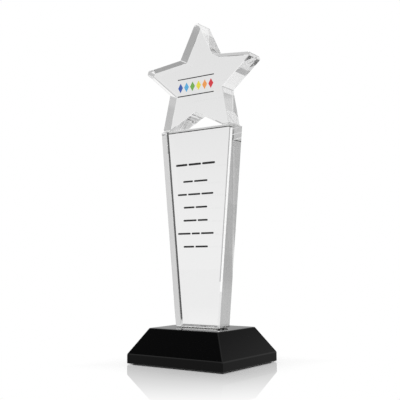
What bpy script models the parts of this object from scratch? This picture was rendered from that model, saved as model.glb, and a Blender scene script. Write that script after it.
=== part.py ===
"""Crystal star award: a clear star on a tapered clear column on a black glass base.

Metres, +Z up. The origin lies on the resting plane under the middle of the base, and the front faces -Y.
The three glass blocks are solid and are held together by thin films of cured clear adhesive.
"""

import math

import bmesh
import bpy
from mathutils import Matrix, Vector

AWARD_NAME = "crystal_star_award"

# Fits between the pieces
FIT_GAP = 0.0003            # clearance between a piece and the piece that it rests on
BOND_FILM = 0.0002          # thickness of a cured adhesive film
BOND_MARGIN = 0.0006        # bare glass left between a film and the chamfers round it
BOND_CORNER = 0.0010        # corner radius of a film

# Pad under the base
PAD_THICKNESS = 0.0005
PAD_INSET = 0.0030          # base edge to pad edge, all round
PAD_CORNER = 0.0040

# Black glass base
BASE_WIDTH = 0.1000
BASE_DEPTH = 0.0850
BASE_HEIGHT = 0.0300
BASE_RIM_HEIGHT = 0.0080    # upright part of the sides
BASE_SLOPE_INSET = 0.0138   # how far each side leans in above the rim
BASE_EDGE = 0.0006          # polished edge width

# Clear column, wider at the top
COLUMN_FOOT_WIDTH = 0.0470
COLUMN_TOP_WIDTH = 0.0780
COLUMN_THICKNESS = 0.0180
COLUMN_HEIGHT = 0.1740
COLUMN_CHAMFER = 0.0006

# Clear star
STAR_POINTS = 5
STAR_TIP_RADIUS = 0.0629    # centre to the sharp tip, before it is blunted
STAR_NOTCH_RADIUS = 0.0302
STAR_HEIGHT_RATIO = 0.909   # the star is a little wider than it is tall
STAR_THICKNESS = 0.0180
STAR_LEAN = math.radians(2)     # how far the star leans back from upright
STAR_CENTRE_RISE = 0.0410   # flat feet to the star's centre
STAR_TIP_FLAT = 0.0036      # width of the flat that blunts each tip
STAR_CHAMFER = 0.0004

# Drawing values
WELD_DISTANCE = 0.00001
SHARP_ANGLE = math.radians(20)
FLAT_ANGLE = math.radians(0.5)
CORNER_STEPS = 5

# Heights that follow from the sizes above
BOND_STACK = FIT_GAP + BOND_FILM + FIT_GAP
BASE_BOTTOM = PAD_THICKNESS + FIT_GAP
BASE_TOP = BASE_BOTTOM + BASE_HEIGHT
COLUMN_BOTTOM = BASE_TOP + BOND_STACK
COLUMN_TOP = COLUMN_BOTTOM + COLUMN_HEIGHT
STAR_BOTTOM = COLUMN_TOP + BOND_STACK
STAR_CENTRE = STAR_BOTTOM + STAR_CENTRE_RISE


def clear_scene():
    """Remove every object that the scene starts with."""
    for thing in list(bpy.data.objects):
        bpy.data.objects.remove(thing, do_unlink=True)


def make_collection(name):
    """New collection, linked to the scene."""
    collection = bpy.data.collections.new(name)
    bpy.context.scene.collection.children.link(collection)
    return collection


def make_material(name, colour, roughness, transmission=0.0, ior=1.5):
    """Principled material of one finish."""
    material = bpy.data.materials.new(name)
    material.use_nodes = True
    shader = material.node_tree.nodes["Principled BSDF"]
    shader.inputs["Base Color"].default_value = (*colour, 1.0)
    shader.inputs["Roughness"].default_value = roughness
    shader.inputs["Metallic"].default_value = 0.0
    shader.inputs["Transmission Weight"].default_value = transmission
    shader.inputs["IOR"].default_value = ior
    return material


def add_piece(name, mesh, material, parent, location):
    """Put a mesh in the scene as one named piece of the award."""
    piece = bpy.data.objects.new(name, mesh)
    mesh.materials.append(material)
    parent.users_collection[0].objects.link(piece)
    piece.parent = parent
    piece.location = location
    return piece


def add_edge_break(piece, width, segments):
    """Chamfer or round every sharp edge of a piece."""
    bevel = piece.modifiers.new("edge_break", "BEVEL")
    bevel.width = width
    bevel.segments = segments
    bevel.limit_method = "ANGLE"
    bevel.angle_limit = SHARP_ANGLE


def slab_mesh(name, outline, thickness):
    """Upright slab: an outline in X and Z, extruded evenly to both sides along Y."""
    curve = bpy.data.curves.new(name, "CURVE")
    curve.dimensions = "2D"
    curve.fill_mode = "BOTH"
    curve.extrude = thickness / 2
    spline = curve.splines.new("POLY")
    spline.points.add(len(outline) - 1)
    for point, corner in zip(spline.points, outline):
        point.co = (corner.x, corner.y, 0.0, 1.0)
    spline.use_cyclic_u = True

    drawing = bpy.data.objects.new(name, curve)
    bpy.context.scene.collection.objects.link(drawing)
    drawing.rotation_euler.x = math.pi / 2
    bpy.context.view_layer.update()
    mesh = bpy.data.meshes.new_from_object(drawing.evaluated_get(bpy.context.evaluated_depsgraph_get()))
    mesh.transform(drawing.matrix_world)
    bpy.data.objects.remove(drawing, do_unlink=True)

    shape = bmesh.new()
    shape.from_mesh(mesh)
    bmesh.ops.remove_doubles(shape, verts=shape.verts, dist=WELD_DISTANCE)
    bmesh.ops.dissolve_limit(shape, angle_limit=FLAT_ANGLE, verts=shape.verts, edges=shape.edges)
    shape.to_mesh(mesh)
    shape.free()
    return mesh


def sheet_mesh(name, width, depth, thickness, corner):
    """Thin level sheet with round corners, its underside at Z = 0."""
    shape = bmesh.new()
    bmesh.ops.create_cube(shape, size=1.0)
    bmesh.ops.scale(shape, verts=shape.verts, vec=(width, depth, thickness))
    bmesh.ops.translate(shape, verts=shape.verts, vec=(0.0, 0.0, thickness / 2))
    upright = [edge for edge in shape.edges if edge.verts[0].co.xy == edge.verts[1].co.xy]
    bmesh.ops.bevel(shape, geom=upright, offset=corner, segments=CORNER_STEPS, profile=0.5, affect="EDGES")
    mesh = bpy.data.meshes.new(name)
    shape.to_mesh(mesh)
    shape.free()
    return mesh


def base_mesh():
    """Base block: an upright rim, four sloping sides and a flat top, its underside at Z = 0."""
    shape = bmesh.new()
    bmesh.ops.create_cube(shape, size=1.0)
    bmesh.ops.scale(shape, verts=shape.verts, vec=(BASE_WIDTH, BASE_DEPTH, BASE_RIM_HEIGHT))
    bmesh.ops.translate(shape, verts=shape.verts, vec=(0.0, 0.0, BASE_RIM_HEIGHT / 2))
    rim_top = max(shape.faces, key=lambda face: face.calc_center_median().z)
    grown = bmesh.ops.extrude_face_region(shape, geom=[rim_top])["geom"]
    bmesh.ops.delete(shape, geom=[rim_top], context="FACES_ONLY")
    top_corners = [item for item in grown if isinstance(item, bmesh.types.BMVert)]
    bmesh.ops.translate(shape, verts=top_corners, vec=(0.0, 0.0, BASE_HEIGHT - BASE_RIM_HEIGHT))
    top_width = BASE_WIDTH - 2 * BASE_SLOPE_INSET
    top_depth = BASE_DEPTH - 2 * BASE_SLOPE_INSET
    bmesh.ops.scale(shape, verts=top_corners, vec=(top_width / BASE_WIDTH, top_depth / BASE_DEPTH, 1.0))
    bmesh.ops.recalc_face_normals(shape, faces=shape.faces)
    mesh = bpy.data.meshes.new("black_base")
    shape.to_mesh(mesh)
    shape.free()
    return mesh


def column_outline():
    """Corners of the column's face, with the foot at height 0."""
    return [
        Vector((-COLUMN_FOOT_WIDTH / 2, 0.0)),
        Vector((COLUMN_FOOT_WIDTH / 2, 0.0)),
        Vector((COLUMN_TOP_WIDTH / 2, COLUMN_HEIGHT)),
        Vector((-COLUMN_TOP_WIDTH / 2, COLUMN_HEIGHT)),
    ]


def sharp_star():
    """Tips and notches of the whole star in turn, from its top tip, about its centre."""
    corners = []
    for index in range(2 * STAR_POINTS):
        radius = STAR_NOTCH_RADIUS if index % 2 else STAR_TIP_RADIUS
        angle = math.pi / 2 + index * math.pi / STAR_POINTS
        corners.append(Vector((radius * math.cos(angle), STAR_HEIGHT_RATIO * radius * math.sin(angle))))
    return corners


def blunted(corners):
    """Star outline whose tips are cut back to a flat of a set width."""
    outline = []
    for index, corner in enumerate(corners):
        if index % 2:
            outline.append(corner)
            continue
        to_last = (corners[index - 1] - corner).normalized()
        to_next = (corners[index + 1] - corner).normalized()
        cut_back = STAR_TIP_FLAT / (to_next - to_last).length
        outline.append(corner + cut_back * to_last)
        outline.append(corner + cut_back * to_next)
    return outline


def cut_flat(shape, level):
    """Cut off what lies below a level and close the cuts."""
    everything = [*shape.verts, *shape.edges, *shape.faces]
    cut = bmesh.ops.bisect_plane(shape, geom=everything, dist=WELD_DISTANCE, plane_co=(0.0, 0.0, level),
                                 plane_no=(0.0, 0.0, -1.0), clear_outer=True)["geom_cut"]
    bmesh.ops.edgeloop_fill(shape, edges=[item for item in cut if isinstance(item, bmesh.types.BMEdge)])
    bmesh.ops.recalc_face_normals(shape, faces=shape.faces)


def star_mesh():
    """Star about its centre: blunt tips, leaning back a little, both feet cut level."""
    mesh = slab_mesh("crystal_star", blunted(sharp_star()), STAR_THICKNESS)
    shape = bmesh.new()
    shape.from_mesh(mesh)
    bmesh.ops.rotate(shape, verts=shape.verts, matrix=Matrix.Rotation(-STAR_LEAN, 3, "X"))
    cut_flat(shape, -STAR_CENTRE_RISE)
    shape.to_mesh(mesh)
    shape.free()
    return mesh


def foot_span(mesh):
    """Inner and outer X of the flat under the star's right foot, inside its slanting ends."""
    level = min(vertex.co.z for vertex in mesh.vertices)
    foot = [vertex.co for vertex in mesh.vertices if vertex.co.x > 0 and vertex.co.z - level < WELD_DISTANCE]
    middle = sum(corner.x for corner in foot) / len(foot)
    inner = max(corner.x for corner in foot if corner.x < middle)
    outer = min(corner.x for corner in foot if corner.x > middle)
    return inner, outer


def add_base(parent, black_glass, pad_felt):
    """Black base and the pad stuck under it."""
    base = add_piece("black_base", base_mesh(), black_glass, parent, (0.0, 0.0, BASE_BOTTOM))
    add_edge_break(base, BASE_EDGE, segments=2)
    pad_width = BASE_WIDTH - 2 * PAD_INSET
    pad_depth = BASE_DEPTH - 2 * PAD_INSET
    pad = sheet_mesh("base_pad", pad_width, pad_depth, PAD_THICKNESS, PAD_CORNER)
    add_piece("base_pad", pad, pad_felt, parent, (0.0, 0.0, 0.0))


def add_column(parent, clear_glass, clear_bond):
    """Tapered column and the film that bonds it to the base."""
    mesh = slab_mesh("crystal_column", column_outline(), COLUMN_THICKNESS)
    column = add_piece("crystal_column", mesh, clear_glass, parent, (0.0, 0.0, COLUMN_BOTTOM))
    add_edge_break(column, COLUMN_CHAMFER, segments=1)
    inset = COLUMN_CHAMFER + BOND_MARGIN
    film_width = COLUMN_FOOT_WIDTH - 2 * inset
    film_depth = COLUMN_THICKNESS - 2 * inset
    film = sheet_mesh("column_bond", film_width, film_depth, BOND_FILM, BOND_CORNER)
    add_piece("column_bond", film, clear_bond, parent, (0.0, 0.0, BASE_TOP + FIT_GAP))


def add_star(parent, clear_glass, clear_bond):
    """Star and the films that bond its two feet to the top of the column."""
    mesh = star_mesh()
    set_back = STAR_CENTRE_RISE * math.tan(STAR_LEAN)
    star = add_piece("crystal_star", mesh, clear_glass, parent, (0.0, set_back, STAR_CENTRE))
    add_edge_break(star, STAR_CHAMFER, segments=1)
    inset = max(STAR_CHAMFER, COLUMN_CHAMFER) + BOND_MARGIN
    foot_inner, foot_outer = foot_span(mesh)
    film_inner = foot_inner + inset
    film_outer = min(foot_outer, COLUMN_TOP_WIDTH / 2) - inset
    film_depth = min(STAR_THICKNESS, COLUMN_THICKNESS) - 2 * inset
    for side, name in ((-1, "star_bond_left"), (1, "star_bond_right")):
        film = sheet_mesh(name, film_outer - film_inner, film_depth, BOND_FILM, BOND_CORNER)
        middle = side * (film_inner + film_outer) / 2
        add_piece(name, film, clear_bond, parent, (middle, 0.0, COLUMN_TOP + FIT_GAP))


def main():
    """Build the award."""
    clear_scene()
    collection = make_collection(AWARD_NAME)
    origin = bpy.data.objects.new("award_origin", None)
    collection.objects.link(origin)

    clear_glass = make_material("clear_crystal", (0.93, 0.95, 0.95), 0.02, transmission=1.0, ior=1.52)
    black_glass = make_material("black_crystal", (0.012, 0.012, 0.014), 0.06, ior=1.52)
    clear_bond = make_material("clear_adhesive", (0.90, 0.91, 0.90), 0.10, transmission=0.9, ior=1.48)
    pad_felt = make_material("pad_felt", (0.02, 0.02, 0.022), 0.95)

    add_base(origin, black_glass, pad_felt)
    add_column(origin, clear_glass, clear_bond)
    add_star(origin, clear_glass, clear_bond)


main()
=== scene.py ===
"""Looks of a crystal star award: a clear star on a tapered clear column on a black glass base.

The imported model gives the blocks, their sizes and their places. This script gives each block its finish,
cuts the column's edges anew, models the bond films, the felt pad and the prints, and sets up a plain white
studio with the camera at the photograph's angle. Metres, +Z up, and the award's front faces -Y.
"""

import logging
import math
import random
from dataclasses import dataclass, field
from enum import Enum
from typing import Mapping, Optional, Sequence, Union

import bmesh
import bpy
from mathutils import Matrix, Vector


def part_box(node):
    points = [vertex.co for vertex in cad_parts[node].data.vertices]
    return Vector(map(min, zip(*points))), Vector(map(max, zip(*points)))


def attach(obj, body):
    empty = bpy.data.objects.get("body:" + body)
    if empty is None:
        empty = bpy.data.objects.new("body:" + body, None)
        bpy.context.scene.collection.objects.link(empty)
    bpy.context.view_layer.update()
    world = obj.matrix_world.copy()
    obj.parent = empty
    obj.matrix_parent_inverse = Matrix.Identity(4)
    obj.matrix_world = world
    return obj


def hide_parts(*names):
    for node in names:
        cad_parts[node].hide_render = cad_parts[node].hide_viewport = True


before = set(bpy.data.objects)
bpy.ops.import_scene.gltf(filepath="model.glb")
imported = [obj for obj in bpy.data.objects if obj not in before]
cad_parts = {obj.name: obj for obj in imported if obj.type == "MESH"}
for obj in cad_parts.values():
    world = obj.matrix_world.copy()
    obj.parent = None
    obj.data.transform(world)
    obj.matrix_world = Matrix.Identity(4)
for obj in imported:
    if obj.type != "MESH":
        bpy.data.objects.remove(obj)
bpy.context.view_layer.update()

BODY = "root"
WELD_DISTANCE = 1e-6

log = logging.getLogger("crystal_award")

Triple = tuple[float, float, float]
Span = tuple[float, float]
Key = Union[str, int]
Number = Union[float, "Channel"]
Setting = Union[float, Sequence[float], "Channel"]
Sockets = Mapping[Key, Setting]


class Node(str, Enum):
    """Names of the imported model's nodes."""

    STAR = "crystal_star"
    COLUMN = "crystal_column"
    BASE = "black_base"
    PAD = "base_pad"
    COLUMN_BOND = "column_bond"
    LEFT_BOND = "star_bond_left"
    RIGHT_BOND = "star_bond_right"


class Slot(str, Enum):
    """Material slots of the record."""

    CLEAR = "clear_crystal"
    BLACK = "black_crystal"
    ADHESIVE = "clear_adhesive"
    FELT = "pad_felt"


class Ink(Enum):
    """Printing inks, as linear colours."""

    BLACK = (0.008, 0.008, 0.009)
    BLUE = (0.035, 0.105, 0.42)
    SKY = (0.10, 0.42, 0.72)
    GREEN = (0.17, 0.42, 0.07)
    YELLOW = (0.80, 0.72, 0.06)
    ORANGE = (0.85, 0.34, 0.09)
    RED = (0.66, 0.035, 0.05)


class Channel:
    """An output socket that Python arithmetic can use; each operation adds a Math node."""

    def __init__(self, sheet: "NodeSheet", socket: bpy.types.NodeSocket) -> None:
        """Keep the socket and the sheet that its node is on."""
        self.sheet = sheet
        self.socket = socket

    def maths(self, operation: str, *terms: Number) -> "Channel":
        """Add a Math node.

        Args:
            operation: name of the Math node's operation.
            terms: the node's inputs in order, as channels or numbers.

        Returns:
            The node's result.
        """
        return self.sheet.add("ShaderNodeMath", {"operation": operation}, dict(enumerate(terms)))[0]

    def __add__(self, other: Number) -> "Channel":
        """Sum of two values."""
        return self.maths("ADD", self, other)

    def __radd__(self, other: Number) -> "Channel":
        """Sum, with the number on the left."""
        return self.maths("ADD", other, self)

    def __sub__(self, other: Number) -> "Channel":
        """Difference of two values."""
        return self.maths("SUBTRACT", self, other)

    def __rsub__(self, other: Number) -> "Channel":
        """Difference, with the number on the left."""
        return self.maths("SUBTRACT", other, self)

    def __mul__(self, other: Number) -> "Channel":
        """Product of two values."""
        return self.maths("MULTIPLY", self, other)

    def __rmul__(self, other: Number) -> "Channel":
        """Product, with the number on the left."""
        return self.maths("MULTIPLY", other, self)

    def __lt__(self, other: Number) -> "Channel":
        """1 where this value is below the other, otherwise 0."""
        return self.maths("LESS_THAN", self, other)

    def __gt__(self, other: Number) -> "Channel":
        """1 where this value is above the other, which also serves a number on the left of <."""
        return self.maths("GREATER_THAN", self, other)

    def __abs__(self) -> "Channel":
        """Size of a value without its sign."""
        return self.maths("ABSOLUTE", self)

    def cap(self, other: Number) -> "Channel":
        """The lower of two values."""
        return self.maths("MINIMUM", self, other)

    def lift(self, other: Number) -> "Channel":
        """The higher of two values."""
        return self.maths("MAXIMUM", self, other)

    def step(self, start: float, end: float, low: float = 0.0, high: float = 1.0) -> "Channel":
        """Ease smoothly from one level to another.

        Args:
            start: value at which the result is still low.
            end: value at which the result has reached high.
            low: result before start.
            high: result after end.

        Returns:
            The eased value.
        """
        sockets = {"Value": self, "From Min": start, "From Max": end, "To Min": low, "To Max": high}
        return self.sheet.add("ShaderNodeMapRange", {"interpolation_type": "SMOOTHSTEP"}, sockets)["Result"]


class Outputs:
    """The output sockets of one node."""

    def __init__(self, sheet: "NodeSheet", node: bpy.types.Node) -> None:
        """Keep the node and its sheet."""
        self.sheet = sheet
        self.node = node

    def __getitem__(self, key: Key) -> Channel:
        """Output socket by name or number."""
        return Channel(self.sheet, pick(self.node.outputs, key))


def pick(sockets: bpy.types.bpy_prop_collection, key: Key) -> bpy.types.NodeSocket:
    """Find a socket.

    Args:
        sockets: a node's inputs or outputs.
        key: the socket's number, identifier or name.

    Returns:
        The socket.
    """
    if isinstance(key, int):
        return sockets[key]
    for socket in sockets:
        if socket.identifier == key:
            return socket
    return sockets[key]


@dataclass(frozen=True)
class Grain:
    """Soft noise: repeats per metre, octaves of finer noise, and how dense it is along X, Y and Z."""

    scale: float
    detail: float
    stretch: Triple = (1.0, 1.0, 1.0)


class NodeSheet:
    """A node tree that is filled from Python."""

    def __init__(self, tree: bpy.types.NodeTree) -> None:
        """Start with an empty tree."""
        self.tree = tree
        tree.nodes.clear()

    def add(self, kind: str, settings: Optional[Mapping[str, object]] = None,
            sockets: Optional[Sockets] = None) -> Outputs:
        """Add any node.

        Args:
            kind: Blender's name for the node's type.
            settings: the node's own properties, set before its sockets.
            sockets: values or links of its inputs, by name, identifier or number.

        Returns:
            The node's outputs.
        """
        node = self.tree.nodes.new(kind)
        for name, value in (settings or {}).items():
            setattr(node, name, value)
        for key, value in (sockets or {}).items():
            socket = pick(node.inputs, key)
            if isinstance(value, Channel):
                self.tree.links.new(value.socket, socket)
            else:
                socket.default_value = value
        return Outputs(self, node)

    def place(self) -> Channel:
        """The piece's own coordinates, in metres."""
        return self.add("ShaderNodeTexCoord")["Object"]

    def parts(self, vector: Channel) -> tuple[Channel, Channel, Channel]:
        """X, Y and Z of a vector."""
        split = self.add("ShaderNodeSeparateXYZ", None, {0: vector})
        return split[0], split[1], split[2]

    def along(self, vector: Channel, way: Vector) -> Channel:
        """Length of a vector along a direction."""
        return self.add("ShaderNodeVectorMath", {"operation": "DOT_PRODUCT"}, {0: vector, 1: way})["Value"]

    def noise(self, grain: Grain) -> Channel:
        """Add soft noise in the piece's own coordinates.

        Args:
            grain: how fine the noise is.

        Returns:
            A value about 0.5, from 0 to 1.
        """
        turned = self.add("ShaderNodeMapping", None, {"Vector": self.place(), "Scale": grain.stretch})
        sockets = {"Vector": turned["Vector"], "Scale": grain.scale, "Detail": grain.detail}
        return self.add("ShaderNodeTexNoise", None, sockets)["Fac"]

    def mix(self, share: Number, first: Setting, second: Setting) -> Channel:
        """Blend two colours.

        Args:
            share: 0 for the first colour, 1 for the second.
            first: a colour with alpha, or a channel.
            second: a colour with alpha, or a channel.

        Returns:
            The blended colour.
        """
        sockets = {"Factor_Float": share, "A_Color": first, "B_Color": second}
        return self.add("ShaderNodeMix", {"data_type": "RGBA"}, sockets)["Result_Color"]

    def bump(self, height: Channel, depth: float) -> Channel:
        """Normal of a surface that rises with a height value.

        Args:
            height: 0 to 1.
            depth: metres between heights 0 and 1.

        Returns:
            The bumped normal.
        """
        sockets = {"Strength": 1.0, "Distance": depth, "Height": height}
        return self.add("ShaderNodeBump", None, sockets)["Normal"]

    def glow(self, level: Channel) -> Channel:
        """Shader that shows a brightness as it is."""
        return self.add("ShaderNodeEmission", None, {"Color": level, "Strength": 1.0})["Emission"]

    def blend(self, share: Channel, first: Channel, second: Channel) -> Channel:
        """Blend two shaders, from the first at 0 to the second at 1."""
        return self.add("ShaderNodeMixShader", None, {0: share, 1: first, 2: second})["Shader"]

    def finish(self, sockets: Sockets, volume: Optional[Channel] = None) -> None:
        """End the sheet with a Principled shader.

        Args:
            sockets: the shader's values and links.
            volume: what fills the piece, if it is clear.
        """
        ends = {"Surface": self.add("ShaderNodeBsdfPrincipled", None, sockets)["BSDF"]}
        if volume is not None:
            ends["Volume"] = volume
        self.add("ShaderNodeOutputMaterial", None, ends)


def opaque(colour: Triple) -> tuple[float, float, float, float]:
    """A colour with full alpha, as colour sockets take it."""
    return (*colour, 1.0)


def new_sheet(name: str) -> tuple[bpy.types.Material, NodeSheet]:
    """New material with an empty node sheet.

    Args:
        name: the material's name.

    Returns:
        The material and its sheet.
    """
    material = bpy.data.materials.new(name)
    material.use_nodes = True
    return material, NodeSheet(material.node_tree)


@dataclass(frozen=True)
class ClearCrystal:
    """Polished clear glass, slightly grey in depth, with hairlines on chamfers that are left ground."""

    name: str
    ior: float
    edge_roughness: float
    tint: Triple = (0.97, 0.97, 0.97)
    absorbed: Triple = (0.5, 0.5, 0.5)
    density: float = 4.0
    polish: float = 0.0
    chamfer_start: Span = (0.4, 0.6)
    chamfer_end: Span = (0.8, 0.95)
    hairlines: Grain = Grain(2600.0, 1.0, (1.0, 1.0, 0.04))

    def roughness(self, sheet: NodeSheet) -> Number:
        """Work out how rough the glass is.

        Args:
            sheet: the glass's node sheet.

        Returns:
            One number if the chamfers are polished, otherwise a value that is higher on them.
        """
        if self.edge_roughness == 0.0:
            return self.polish
        _, depth, _ = sheet.parts(sheet.add("ShaderNodeNewGeometry")["Normal"])
        flat = abs(depth)
        chamfer = flat.step(*self.chamfer_start) * (1 - flat.step(*self.chamfer_end))
        return self.polish + chamfer * self.edge_roughness * sheet.noise(self.hairlines)

    def material(self) -> bpy.types.Material:
        """Make the glass.

        Returns:
            The material.
        """
        material, sheet = new_sheet(self.name)
        sockets = {
            "Base Color": opaque(self.tint),
            "Roughness": self.roughness(sheet),
            "IOR": self.ior,
            "Transmission Weight": 1.0,
        }
        grey = {"Color": opaque(self.absorbed), "Density": self.density}
        absorb = sheet.add("ShaderNodeVolumeAbsorption", None, grey)
        sheet.finish(sockets, absorb["Volume"])
        return material


@dataclass(frozen=True)
class BlackCrystal:
    """Black glass with a deep polish and a trace of dust."""

    name: str = "black_crystal_finish"
    colour: Triple = (0.0012, 0.0012, 0.0013)
    dust: Triple = (0.010, 0.010, 0.010)
    specks: Grain = Grain(1900.0, 3.0)
    speck_limits: Span = (0.66, 0.74)
    smears: Grain = Grain(38.0, 3.0)
    smear_limits: Span = (0.45, 0.75)
    ior: float = 1.5
    gloss_level: float = 0.25
    polish: float = 0.02
    haze: float = 0.03

    def material(self) -> bpy.types.Material:
        """Make the black glass.

        Returns:
            The material.
        """
        material, sheet = new_sheet(self.name)
        specks = sheet.noise(self.specks).step(*self.speck_limits)
        smears = sheet.noise(self.smears).step(*self.smear_limits)
        sheet.finish({
            "Base Color": sheet.mix(specks, opaque(self.colour), opaque(self.dust)),
            "Roughness": self.polish + self.haze * smears,
            "IOR": self.ior,
            "Specular IOR Level": self.gloss_level,
        })
        return material


@dataclass(frozen=True)
class ClearAdhesive:
    """Cured clear adhesive with a few fine bubbles."""

    name: str = "clear_adhesive_finish"
    tint: Triple = (0.96, 0.965, 0.95)
    ior: float = 1.49
    bubbles: Grain = Grain(900.0, 1.0)
    bubble_limits: Span = (0.70, 0.76)
    smooth: float = 0.01
    bubble_roughness: float = 0.25

    def material(self) -> bpy.types.Material:
        """Make the adhesive.

        Returns:
            The material.
        """
        material, sheet = new_sheet(self.name)
        bubbles = sheet.noise(self.bubbles).step(*self.bubble_limits)
        sheet.finish({
            "Base Color": opaque(self.tint),
            "Roughness": self.smooth + self.bubble_roughness * bubbles,
            "IOR": self.ior,
            "Transmission Weight": 1.0,
        })
        return material


@dataclass(frozen=True)
class PadFelt:
    """Thin black felt with matted fibres."""

    name: str = "pad_felt_finish"
    dark: Triple = (0.010, 0.010, 0.011)
    light: Triple = (0.045, 0.045, 0.048)
    lengthways: Grain = Grain(2400.0, 3.0, (1.0, 0.15, 1.0))
    crossways: Grain = Grain(2400.0, 3.0, (0.15, 1.0, 1.0))
    fibre_limits: Span = (0.4, 0.65)
    smooth: float = 0.85
    fuzz: float = 0.15
    pile: float = 0.00008

    def material(self) -> bpy.types.Material:
        """Make the felt.

        Returns:
            The material.
        """
        material, sheet = new_sheet(self.name)
        fibres = (sheet.noise(self.lengthways) + sheet.noise(self.crossways)) * 0.5
        matted = fibres.step(*self.fibre_limits)
        sheet.finish({
            "Base Color": sheet.mix(matted, opaque(self.dark), opaque(self.light)),
            "Roughness": self.smooth + self.fuzz * fibres,
            "Normal": sheet.bump(fibres, self.pile),
        })
        return material


@dataclass(frozen=True)
class PrintInk:
    """Cured printing ink that takes its colour from the print's own colour layer."""

    name: str = "print_ink_finish"
    layer: str = "ink"
    specks: Grain = Grain(5200.0, 2.0)
    darkest: float = 0.875
    fading: float = 0.25
    smooth: float = 0.3
    roughening: float = 0.2
    relief: float = 0.000006

    def material(self) -> bpy.types.Material:
        """Make the ink.

        Returns:
            The material.
        """
        material, sheet = new_sheet(self.name)
        colour = sheet.add("ShaderNodeAttribute", {"attribute_name": self.layer})["Color"]
        specks = sheet.noise(self.specks)
        worn = {"Value": self.darkest + self.fading * specks, "Color": colour}
        sheet.finish({
            "Base Color": sheet.add("ShaderNodeHueSaturation", None, worn)["Color"],
            "Roughness": self.smooth + self.roughening * specks,
            "Normal": sheet.bump(specks, self.relief),
        })
        return material


def dress_node(node: Node, material: bpy.types.Material) -> None:
    """Give a packed block its finish.

    Args:
        node: the block.
        material: its finish.
    """
    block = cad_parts[node.value]
    block.data.materials.clear()
    block.data.materials.append(material)
    log.info("dressed %s with %s", node.value, material.name)


def make_piece(name: str, shape: bmesh.types.BMesh, material: bpy.types.Material) -> bpy.types.Object:
    """Turn a bmesh into a piece that rides with the award.

    Args:
        name: the piece's name.
        shape: its mesh, in place, which is freed here.
        material: its finish.

    Returns:
        The piece.
    """
    bmesh.ops.remove_doubles(shape, verts=shape.verts, dist=WELD_DISTANCE)
    bmesh.ops.recalc_face_normals(shape, faces=shape.faces)
    mesh = bpy.data.meshes.new(name)
    shape.to_mesh(mesh)
    shape.free()
    mesh.materials.append(material)
    piece = bpy.data.objects.new(name, mesh)
    bpy.context.scene.collection.objects.link(piece)
    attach(piece, BODY)
    log.info("built %s with %d faces", name, len(mesh.polygons))
    return piece


def upright_edges(shape: bmesh.types.BMesh) -> list[bmesh.types.BMEdge]:
    """Edges that run straight up."""
    return [edge for edge in shape.edges if (edge.verts[0].co - edge.verts[1].co).xy.length < WELD_DISTANCE]


def rising_edges(shape: bmesh.types.BMesh, rise: float) -> list[bmesh.types.BMEdge]:
    """Edges that climb by more than a height."""
    return [edge for edge in shape.edges if abs(edge.verts[0].co.z - edge.verts[1].co.z) > rise]


def grind(shape: bmesh.types.BMesh, edges: Sequence[bmesh.types.BMEdge], width: float,
          segments: int = 1) -> None:
    """Cut chamfers along edges, or round them with more segments."""
    bmesh.ops.bevel(shape, geom=edges, offset=width, segments=segments, profile=0.5, affect="EDGES",
                    material=-1)


def plain_block(low: Vector, high: Vector) -> bmesh.types.BMesh:
    """Block between two corners, with sharp edges.

    Args:
        low: lowest corner.
        high: highest corner.

    Returns:
        The block's mesh.
    """
    shape = bmesh.new()
    bmesh.ops.create_cube(shape, size=1.0)
    bmesh.ops.scale(shape, verts=shape.verts, vec=high - low)
    bmesh.ops.translate(shape, verts=shape.verts, vec=(low + high) / 2)
    return shape


def level_block(low: Vector, high: Vector, corner: float, segments: int) -> bmesh.types.BMesh:
    """Block between two corners, with its upright edges rounded.

    Args:
        low: lowest corner.
        high: highest corner.
        corner: radius of the upright edges.
        segments: facets in each rounded edge.

    Returns:
        The block's mesh.
    """
    shape = plain_block(low, high)
    grind(shape, upright_edges(shape), corner, segments)
    return shape


@dataclass
class BondFilm:
    """Cured adhesive that wets the two blocks it joins, with a hollow edge all round."""

    node: Node
    adhesive: bpy.types.Material
    wetting: float = 0.00002
    corner: float = 0.0012
    hollow: float = 0.94
    segments: int = 6
    cuts: int = 3

    def build(self, below: float, above: float) -> bpy.types.Object:
        """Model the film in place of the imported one.

        Args:
            below: top of the block under the film.
            above: underside of the block over it.

        Returns:
            The film.
        """
        low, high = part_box(self.node.value)
        low.z = below - self.wetting
        high.z = above + self.wetting
        shape = level_block(low, high, self.corner, self.segments)
        bmesh.ops.subdivide_edges(shape, edges=upright_edges(shape), cuts=self.cuts)
        middle = (low + high) / 2
        half = (high.z - low.z) / 2
        for vert in shape.verts:
            rise = (vert.co.z - middle.z) / half
            waist = self.hollow + (1 - self.hollow) * rise * rise
            vert.co.x = middle.x + (vert.co.x - middle.x) * waist
            vert.co.y = middle.y + (vert.co.y - middle.y) * waist
        film = make_piece(f"{self.node.value}_film", shape, self.adhesive)
        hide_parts(self.node.value)
        return film


def front_face(node: Node) -> Matrix:
    """Find where a block's front face lies.

    Args:
        node: the block.

    Returns:
        A place whose X runs to the right, Y up along the face and Z out of it, from the middle of its foot.
    """
    faces = (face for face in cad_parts[node.value].data.polygons if face.normal.y < 0)
    largest = max(faces, key=lambda face: face.area)
    right = Vector((1.0, 0.0, 0.0))
    out = (largest.normal - largest.normal.project(right)).normalized()
    low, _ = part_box(node.value)
    foot = Vector((0.0, largest.center.y, low.z))
    foot.y -= (foot - largest.center).dot(Vector((0.0, out.y, out.z))) / out.y
    turned = Matrix((right, out.cross(right), out)).transposed().to_4x4()
    return Matrix.Translation(foot) @ turned


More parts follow.
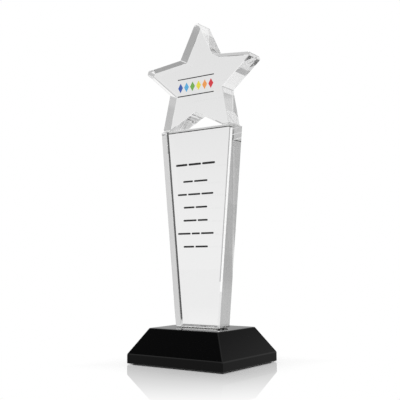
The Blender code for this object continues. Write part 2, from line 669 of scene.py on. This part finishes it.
@dataclass
class Print:
    """Ink shapes on the front face of a block, drawn flat and then put on the face."""

    name: str
    face: Matrix
    finish: PrintInk
    lift: float = 0.00001
    thickness: float = 0.00004
    end_rounding: float = 0.49
    end_segments: int = 3
    shape: bmesh.types.BMesh = field(default_factory=bmesh.new)

    def spot(self, centre: Vector, width: float, height: float) -> Matrix:
        """Place and size of a shape that is drawn one metre wide and high."""
        return Matrix.Translation((*centre, self.lift)) @ Matrix.Diagonal((width, height, 1.0, 1.0))

    def stamp(self, made: Sequence[bmesh.types.BMVert], ink: Ink) -> None:
        """Raise new flat faces to the ink's thickness and colour them.

        Args:
            made: the flat shape's corners, in place.
            ink: their colour.
        """
        layer = self.shape.loops.layers.float_color.get(self.finish.layer)
        if layer is None:
            layer = self.shape.loops.layers.float_color.new(self.finish.layer)
        flat = list({face for vert in made for face in vert.link_faces})
        grown = bmesh.ops.extrude_face_region(self.shape, geom=flat, use_keep_orig=True)["geom"]
        raised = [item for item in grown if isinstance(item, bmesh.types.BMVert)]
        bmesh.ops.translate(self.shape, verts=raised, vec=(0.0, 0.0, self.thickness))
        for face in {face for vert in [*made, *raised] if vert.is_valid for face in vert.link_faces}:
            for loop in face.loops:
                loop[layer] = opaque(ink.value)

    def bar(self, centre: Vector, width: float, height: float, ink: Ink) -> None:
        """Print a bar with round ends.

        Args:
            centre: its middle, across and up the face.
            width: its length.
            height: its height.
            ink: its colour.
        """
        made = bmesh.ops.create_grid(self.shape, x_segments=1, y_segments=1, size=0.5,
                                     matrix=self.spot(centre, width, height))["verts"]
        rounded = bmesh.ops.bevel(self.shape, geom=made, offset=min(width, height) * self.end_rounding,
                                  segments=self.end_segments, profile=0.5, affect="VERTICES", material=-1)
        self.stamp(rounded["verts"], ink)

    def lozenge(self, centre: Vector, width: float, height: float, ink: Ink) -> None:
        """Print a lozenge that stands on its point.

        Args:
            centre: its middle, across and up the face.
            width: its width.
            height: its height.
            ink: its colour.
        """
        made = bmesh.ops.create_circle(self.shape, cap_ends=True, segments=4, radius=0.5,
                                       matrix=self.spot(centre, width, height))["verts"]
        self.stamp(made, ink)

    def build(self) -> bpy.types.Object:
        """Make the print one piece, on its face."""
        bmesh.ops.transform(self.shape, matrix=self.face, verts=self.shape.verts)
        return make_piece(self.name, self.shape, self.finish.material())


@dataclass
class StarBlock:
    """Cut star with its ornament and the films under its feet."""

    glass: bpy.types.Material
    adhesive: bpy.types.Material
    ink: PrintInk
    centre_rise: float = 0.0375
    row_width: float = 0.0400
    lozenge_width: float = 0.0054
    lozenge_height: float = 0.0088
    rule_gap: float = 0.0078
    rule_height: float = 0.0009
    inks: tuple[Ink, ...] = (Ink.BLUE, Ink.SKY, Ink.GREEN, Ink.YELLOW, Ink.ORANGE, Ink.RED)

    def dress(self) -> None:
        """Give the star its finish."""
        dress_node(Node.STAR, self.glass)

    def build(self) -> None:
        """Model the films and the ornament."""
        low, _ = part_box(Node.STAR.value)
        _, column_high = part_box(Node.COLUMN.value)
        for node in (Node.LEFT_BOND, Node.RIGHT_BOND):
            BondFilm(node, self.adhesive).build(column_high.z, low.z)
        ornament = Print("star_ornament", front_face(Node.STAR), self.ink)
        middle = Vector((0.0, self.centre_rise))
        pitch = self.row_width / len(self.inks)
        for index, ink in enumerate(self.inks):
            across = (index - (len(self.inks) - 1) / 2) * pitch
            ornament.lozenge(middle + Vector((across, 0.0)), self.lozenge_width, self.lozenge_height, ink)
        for side in (-1, 1):
            away = Vector((0.0, side * self.rule_gap))
            ornament.bar(middle + away, self.row_width, self.rule_height, Ink.BLACK)
        ornament.build()


@dataclass
class ColumnBlock:
    """Tapered column with rows of plain bars and the film under its foot."""

    glass: bpy.types.Material
    adhesive: bpy.types.Material
    ink: PrintInk
    top_width: float = 0.078
    foot_width: float = 0.047
    back_chamfer: float = 0.0014
    front_chamfer: float = 0.0016
    front_facet: float = 0.0005
    level_chamfer: float = 0.00045
    heading_drop: float = 0.0320
    heading_height: float = 0.0019
    heading_bars: int = 3
    heading_lengths: Span = (0.0110, 0.0150)
    line_drop: float = 0.0150
    line_pitch: float = 0.0115
    line_count: int = 6
    line_height: float = 0.0016
    line_bars: tuple[int, int] = (2, 3)
    line_lengths: Span = (0.0085, 0.0145)
    gap: float = 0.0012
    seed: int = 12

    def dress(self) -> None:
        """Give the column its finish."""
        dress_node(Node.COLUMN, self.glass)

    def cut_block(self) -> bpy.types.Object:
        """Model the column with wide upright edges, the front ones in two facets, and narrow level edges.

        Returns:
            The block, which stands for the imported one.
        """
        low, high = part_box(Node.COLUMN.value)
        middle = (low + high) / 2
        shape = plain_block(low, high)
        foot = [vert for vert in shape.verts if vert.co.z < middle.z]
        bmesh.ops.scale(shape, verts=foot, vec=(self.foot_width / self.top_width, 1.0, 1.0))
        tall = (high.z - low.z) / 2
        back = [edge for edge in rising_edges(shape, tall) if edge.verts[0].co.y > middle.y]
        grind(shape, back, self.back_chamfer)
        front = [edge for edge in rising_edges(shape, tall) if edge.verts[0].co.y < middle.y]
        grind(shape, front, self.front_chamfer)
        face = [edge for edge in rising_edges(shape, tall) if edge.verts[0].co.y < low.y + WELD_DISTANCE]
        grind(shape, face, self.front_facet)
        rising = set(rising_edges(shape, tall))
        grind(shape, [edge for edge in shape.edges if edge not in rising], self.level_chamfer)
        block = make_piece("cut_column", shape, self.glass)
        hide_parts(Node.COLUMN.value)
        return block

    def set_row(self, panel: Print, middle: Vector, height: float, lengths: Sequence[float]) -> None:
        """Print a row of bars.

        Args:
            panel: the print that the row is on.
            middle: the row's middle, across and up the face.
            height: the bars' height.
            lengths: the bars' lengths, from left to right.
        """
        start = -(sum(lengths) + self.gap * (len(lengths) - 1)) / 2
        for length in lengths:
            panel.bar(middle + Vector((start + length / 2, 0.0)), length, height, Ink.BLACK)
            start += length + self.gap

    def build(self) -> None:
        """Model the block, the film and the rows of bars."""
        low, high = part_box(Node.COLUMN.value)
        _, base_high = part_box(Node.BASE.value)
        self.cut_block()
        BondFilm(Node.COLUMN_BOND, self.adhesive).build(base_high.z, low.z)
        panel = Print("column_panel", front_face(Node.COLUMN), self.ink)
        draw = random.Random(self.seed)
        heading = Vector((0.0, high.z - low.z - self.heading_drop))
        lengths = [draw.uniform(*self.heading_lengths) for _ in range(self.heading_bars)]
        self.set_row(panel, heading, self.heading_height, lengths)
        for index in range(self.line_count):
            drop = Vector((0.0, self.line_drop + index * self.line_pitch))
            lengths = [draw.uniform(*self.line_lengths) for _ in range(draw.randint(*self.line_bars))]
            self.set_row(panel, heading - drop, self.line_height, lengths)
        panel.build()


@dataclass
class BaseBlock:
    """Black base with its felt pad."""

    glass: bpy.types.Material
    felt: bpy.types.Material
    pad_corner: float = 0.0040
    pad_segments: int = 8

    def dress(self) -> None:
        """Give the base its finish."""
        dress_node(Node.BASE, self.glass)

    def build(self) -> None:
        """Model the pad, stuck to the base's underside."""
        low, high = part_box(Node.PAD.value)
        base_low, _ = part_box(Node.BASE.value)
        high.z = base_low.z
        shape = level_block(low, high, self.pad_corner, self.pad_segments)
        pad = make_piece("felt_pad", shape, self.felt)
        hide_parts(Node.PAD.value)


@dataclass(frozen=True)
class Card:
    """A pale or dark card of the studio, as a soft round patch of sky, with its angles in degrees."""

    azimuth: float
    elevation: float
    inner: float
    outer: float
    level: float

    def way(self) -> Vector:
        """Direction to the card, with azimuth 0 behind the award and 90 to its right."""
        turn, lift = math.radians(self.azimuth), math.radians(self.elevation)
        return Vector((math.sin(turn) * math.cos(lift), math.cos(turn) * math.cos(lift), math.sin(lift)))

    def cover(self, sheet: NodeSheet, way: Channel, level: Channel, where: Number = 1.0) -> Channel:
        """Lay the card over the sky.

        Args:
            sheet: the world's node sheet.
            way: direction of the ray.
            level: brightness of the sky without the card.
            where: 1 for rays that meet the card, otherwise 0.

        Returns:
            Brightness of the sky with the card.
        """
        inside = math.cos(math.radians(self.inner))
        outside = math.cos(math.radians(self.outer))
        share = sheet.along(way, self.way()).step(outside, inside) * where
        return level + share * (self.level - level)


@dataclass(frozen=True)
class Patch:
    """A dark or pale cloth on the table, as a soft round patch outside the picture."""

    x: float
    y: float
    inner: float
    outer: float
    level: float

    def cover(self, sheet: NodeSheet, place: Channel, level: Channel) -> Channel:
        """Lay the cloth on the table.

        Args:
            sheet: the table's node sheet.
            place: point of the table.
            level: brightness of the table without the cloth.

        Returns:
            Brightness of the table with the cloth.
        """
        ends = {0: place, 1: (self.x, self.y, 0.0)}
        away = sheet.add("ShaderNodeVectorMath", {"operation": "DISTANCE"}, ends)["Value"]
        return level + away.step(self.inner, self.outer, 1.0, 0.0) * (self.level - level)


@dataclass(frozen=True)
class Lamp:
    """A soft square lamp: its place, its side and its power in watts."""

    name: str
    place: Triple
    size: float
    power: float

    def hang(self, aim: Vector) -> None:
        """Hang the lamp.

        Args:
            aim: the point it faces.
        """
        light = bpy.data.lights.new(self.name, "AREA")
        light.size = self.size
        light.energy = self.power
        lamp = bpy.data.objects.new(self.name, light)
        bpy.context.scene.collection.objects.link(lamp)
        lamp.visible_glossy = False
        lamp.visible_transmission = False
        lamp.location = self.place
        lamp.rotation_euler = (aim - Vector(self.place)).to_track_quat("-Z", "Y").to_euler()


@dataclass
class Studio:
    """White table, pale surroundings, soft lamps and the camera.

    Levels are brightness, with 0 for black and 1 for white, and depths are limits of Light Path's ray depth.
    The base card shows in reflections only. The backdrop's gap is given by the sine of the angle aside.
    """

    horizon: float = 0.52
    band: float = 1.0
    band_rise: Span = (0.15, 0.36)
    ceiling: float = 0.5
    ceiling_rise: Span = (0.70, 0.95)
    backdrop_low: float = 0.93
    backdrop_high: float = 0.815
    backdrop_rise: Span = (0.0, 0.30)
    cards: tuple[Card, ...] = (
        Card(-127.0, 41.0, 6.0, 9.0, 0.07),
        Card(35.0, 9.0, 8.0, 25.0, 0.68),
        Card(-8.0, 7.0, 8.0, 16.0, 0.05),
        Card(-68.0, 4.0, 8.0, 12.0, 1.15),
        Card(-28.0, 11.0, 5.0, 9.5, 0.47),
        Card(-57.0, 13.0, 6.0, 11.0, 0.42),
        Card(-150.0, 14.0, 9.0, 14.0, 0.48),
    )
    base_card: Card = Card(24.0, 30.0, 10.0, 25.0, 0.13)
    gap_left: Span = (-0.64, -0.60)
    gap_right: Span = (-0.19, -0.14)
    gap_ahead: Span = (0.0, 0.1)
    mirror_depth: float = 2.5
    world_depth: float = 3.5
    table_depth: float = 2.5
    patches: tuple[Patch, ...] = (
        Patch(0.43, 0.50, 0.06, 0.20, 0.47),
        Patch(-0.50, 0.50, 0.15, 0.40, 0.35),
        Patch(-0.24, 1.20, 0.30, 0.45, 0.06),
        Patch(-0.42, 2.20, 0.70, 0.90, 0.06),
        Patch(-0.90, 4.60, 1.70, 2.20, 0.06),
        Patch(-0.98, 0.56, 0.10, 0.28, 0.22),
        Patch(-1.50, 2.10, 0.50, 1.00, 0.75),
        Patch(1.80, 1.85, 0.60, 1.10, 0.52),
        Patch(0.57, 0.69, 0.08, 0.22, 0.40),
    )
    floor_radius: float = 6.0
    floor_sides: int = 64
    # painted pool of light: the table's glow for bent and mirrored rays is full near the award and dims to
    # the far level
    painted_light_pool_fade: Span = (0.30, 0.90)
    painted_light_pool_far_level: float = 0.60
    # painted contact shadow: near the base, the table's glow for bent and mirrored rays drops to this level
    painted_contact_shadow_level: float = 0.36
    painted_contact_shadow_fade: Span = (0.11, 0.24)
    mirror_share: float = 0.40
    mirror_fade: Span = (0.05, 0.215)
    shadow_share: float = 0.45
    shadow_edge: Span = (-0.001, 0.002)
    shadow_fade: Span = (0.0, 0.045)
    table_white: float = 0.53
    lamps: tuple[Lamp, ...] = (
        Lamp("overhead_softbox", (-0.25, 0.1, 1.3), 0.9, 14.0),
        Lamp("front_softbox", (0.9, -0.7, 1.3), 0.7, 8.0),
    )
    lamp_aim: Triple = (0.0, 0.0, 0.12)
    camera_azimuth: float = 35.825
    camera_distance: float = 0.6493
    camera_height: float = 0.0897
    camera_pitch: float = 4.644
    camera_yaw: float = 0.107
    camera_roll: float = -0.393
    focal_pixels: float = 734.8
    frame_pixels: float = 400.0
    sensor: float = 36.0
    near_clip: float = 0.01
    bounces: int = 32

    def sight(self, path: Outputs, depth: float) -> tuple[Channel, Channel]:
        """Tell the camera's own rays, and its straight views through a block, from all others.

        Args:
            path: the Light Path node of the table or the world.
            depth: ray depth there of a ray that went through two faces, plus a half.

        Returns:
            1 for a camera ray, and 1 for a ray that went straight through a block.
        """
        clear = path["Is Transmission Ray"] * path["Is Singular Ray"]
        return path["Is Camera Ray"], clear * (path["Ray Depth"] < depth)

    def backdrop_gap(self, sheet: NodeSheet, way: Channel) -> Channel:
        """Find the gap in the backdrop, on the left of the photograph's direction.

        Args:
            sheet: the world's node sheet.
            way: direction of the ray.

        Returns:
            1 in the gap, otherwise 0.
        """
        turn = math.radians(self.camera_azimuth)
        aside = sheet.along(way, Vector((math.cos(turn), math.sin(turn), 0.0)))
        ahead = sheet.along(way, Vector((-math.sin(turn), math.cos(turn), 0.0)))
        gap = aside.step(*self.gap_right, 1.0, 0.0) * aside.step(*self.gap_left)
        return gap * ahead.step(*self.gap_ahead)

    def light_surroundings(self) -> None:
        """Make the world: pale walls, a darker ceiling, the cards and the backdrop, white to the camera."""
        world = bpy.data.worlds.new("studio_surroundings")
        world.use_nodes = True
        bpy.context.scene.world = world
        sheet = NodeSheet(world.node_tree)
        way = sheet.add("ShaderNodeTexCoord")["Generated"]
        path = sheet.add("ShaderNodeLightPath")
        _, _, up = sheet.parts(way)
        mirrored = path["Is Glossy Ray"] * (path["Ray Depth"] < self.mirror_depth)
        level = up.step(*self.band_rise, self.horizon, self.band)
        level = level * up.step(*self.ceiling_rise, 1.0, self.ceiling)
        level = self.base_card.cover(sheet, way, level, mirrored)
        for card in self.cards:
            level = card.cover(sheet, way, level)
        seen, through = self.sight(path, self.world_depth)
        backdrop = up.step(*self.backdrop_rise, self.backdrop_low, self.backdrop_high)
        level = level + through * (1 - self.backdrop_gap(sheet, way)) * (backdrop - level)
        white = (seen + mirrored * path["Is Singular Ray"]).cap(1.0)
        level = level + white * (1 - level)
        background = sheet.add("ShaderNodeBackground", None, {"Color": level, "Strength": 1.0})
        sheet.add("ShaderNodeOutputWorld", None, {"Surface": background["Background"]})

    def lay_floor(self) -> None:
        """Make the white table top, which mirrors the award faintly near it."""
        shape = bmesh.new()
        bmesh.ops.create_circle(shape, cap_ends=True, segments=self.floor_sides, radius=self.floor_radius)
        mesh = bpy.data.meshes.new("table_top")
        shape.to_mesh(mesh)
        shape.free()
        floor = bpy.data.objects.new("table_top", mesh)
        bpy.context.scene.collection.objects.link(floor)
        mesh.materials.append(self.table_material())

    def table_looks(self, sheet: NodeSheet, place: Channel, away: Channel, through: Channel) -> Channel:
        """Make what the camera sees: white, a shadow round the base and a faint mirror near it.

        Args:
            sheet: the table's node sheet.
            place: point of the table.
            away: its distance from the award's middle.
            through: 1 for a ray that went straight through a block.

        Returns:
            The shader.
        """
        plain = sheet.glow(1 - through * (1 - self.backdrop_low))
        matt = sheet.add("ShaderNodeBsdfDiffuse", None, {"Color": opaque((self.table_white,) * 3)})
        across, deep, _ = sheet.parts(place)
        _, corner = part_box(Node.BASE.value)
        outside = (abs(across) - corner.x).lift(abs(deep) - corner.y)
        shade = outside.step(*self.shadow_edge, 1.0, self.shadow_share)
        shade = shade * outside.step(*self.shadow_fade, 1.0, 0.0)
        ground = sheet.blend(shade, plain, matt["BSDF"])
        clean = {"Color": opaque((1.0, 1.0, 1.0)), "Roughness": 0.0}
        gloss = sheet.add("ShaderNodeBsdfGlossy", None, clean)
        return sheet.blend(away.step(*self.mirror_fade, self.mirror_share, 0.0), ground, gloss["BSDF"])

    def table_material(self) -> bpy.types.Material:
        """Make the table's finish, which shows the cloths, a painted pool of light and a painted contact
        shadow round the base to bent and mirrored rays only.

        Returns:
            The material.
        """
        material, sheet = new_sheet("table_top_finish")
        place = sheet.place()
        away = sheet.add("ShaderNodeVectorMath", {"operation": "LENGTH"}, {0: place})["Value"]
        seen, through = self.sight(sheet.add("ShaderNodeLightPath"), self.table_depth)
        # painted pool of light: the glow dims away from the award
        level = away.step(*self.painted_light_pool_fade, 1.0, self.painted_light_pool_far_level)
        # painted contact shadow: the glow darkens round the base, for bent and mirrored rays only
        level = level * away.step(*self.painted_contact_shadow_fade, self.painted_contact_shadow_level, 1.0)
        for patch in self.patches:
            level = patch.cover(sheet, place, level)
        looks = self.table_looks(sheet, place, away, through)
        surface = sheet.blend((seen + through).cap(1.0), sheet.glow(level), looks)
        sheet.add("ShaderNodeOutputMaterial", None, {"Surface": surface})
        return material

    def set_camera(self) -> None:
        """Set the camera at the photograph's angle."""
        turn = math.radians(self.camera_azimuth)
        aim = math.radians(self.camera_azimuth + self.camera_yaw)
        pitch = math.radians(self.camera_pitch)
        roll = math.radians(self.camera_roll)
        ahead = Vector((-math.sin(aim) * math.cos(pitch), math.cos(aim) * math.cos(pitch), math.sin(pitch)))
        right = Vector((math.cos(aim), math.sin(aim), 0.0))
        up = right.cross(ahead)
        across = math.cos(roll) * right + math.sin(roll) * up
        upward = math.cos(roll) * up - math.sin(roll) * right
        data = bpy.data.cameras.new("photo_camera")
        data.sensor_width = self.sensor
        data.lens = self.sensor * self.focal_pixels / self.frame_pixels
        data.clip_start = self.near_clip
        camera = bpy.data.objects.new("photo_camera", data)
        bpy.context.scene.collection.objects.link(camera)
        turned = Matrix((across, upward, -ahead)).transposed().to_4x4()
        spot = Vector((math.sin(turn) * self.camera_distance, -math.cos(turn) * self.camera_distance,
                       self.camera_height))
        camera.matrix_world = Matrix.Translation(spot) @ turned
        bpy.context.scene.camera = camera

    def build(self) -> None:
        """Set up the whole studio."""
        scene = bpy.context.scene
        scene.view_settings.view_transform = "Standard"
        scene.cycles.max_bounces = self.bounces
        scene.cycles.glossy_bounces = self.bounces
        scene.cycles.transmission_bounces = self.bounces
        self.light_surroundings()
        self.lay_floor()
        for lamp in self.lamps:
            lamp.hang(Vector(self.lamp_aim))
        self.set_camera()
        log.info("set up the studio")


def main() -> None:
    """Dress the award and set up the studio."""
    logging.basicConfig(level=logging.INFO, format="%(name)s: %(message)s")
    star_glass = ClearCrystal("star_crystal_finish", ior=1.47, edge_roughness=0.0).material()
    column_glass = ClearCrystal("column_crystal_finish", ior=1.52, edge_roughness=0.03).material()
    adhesive = ClearAdhesive().material()
    ink = PrintInk()
    blocks = (
        BaseBlock(BlackCrystal().material(), PadFelt().material()),
        ColumnBlock(column_glass, adhesive, ink),
        StarBlock(star_glass, adhesive, ink),
    )
    for block in blocks:
        block.dress()
        block.build()
    Studio().build()


if __name__ == "__main__":
    main()
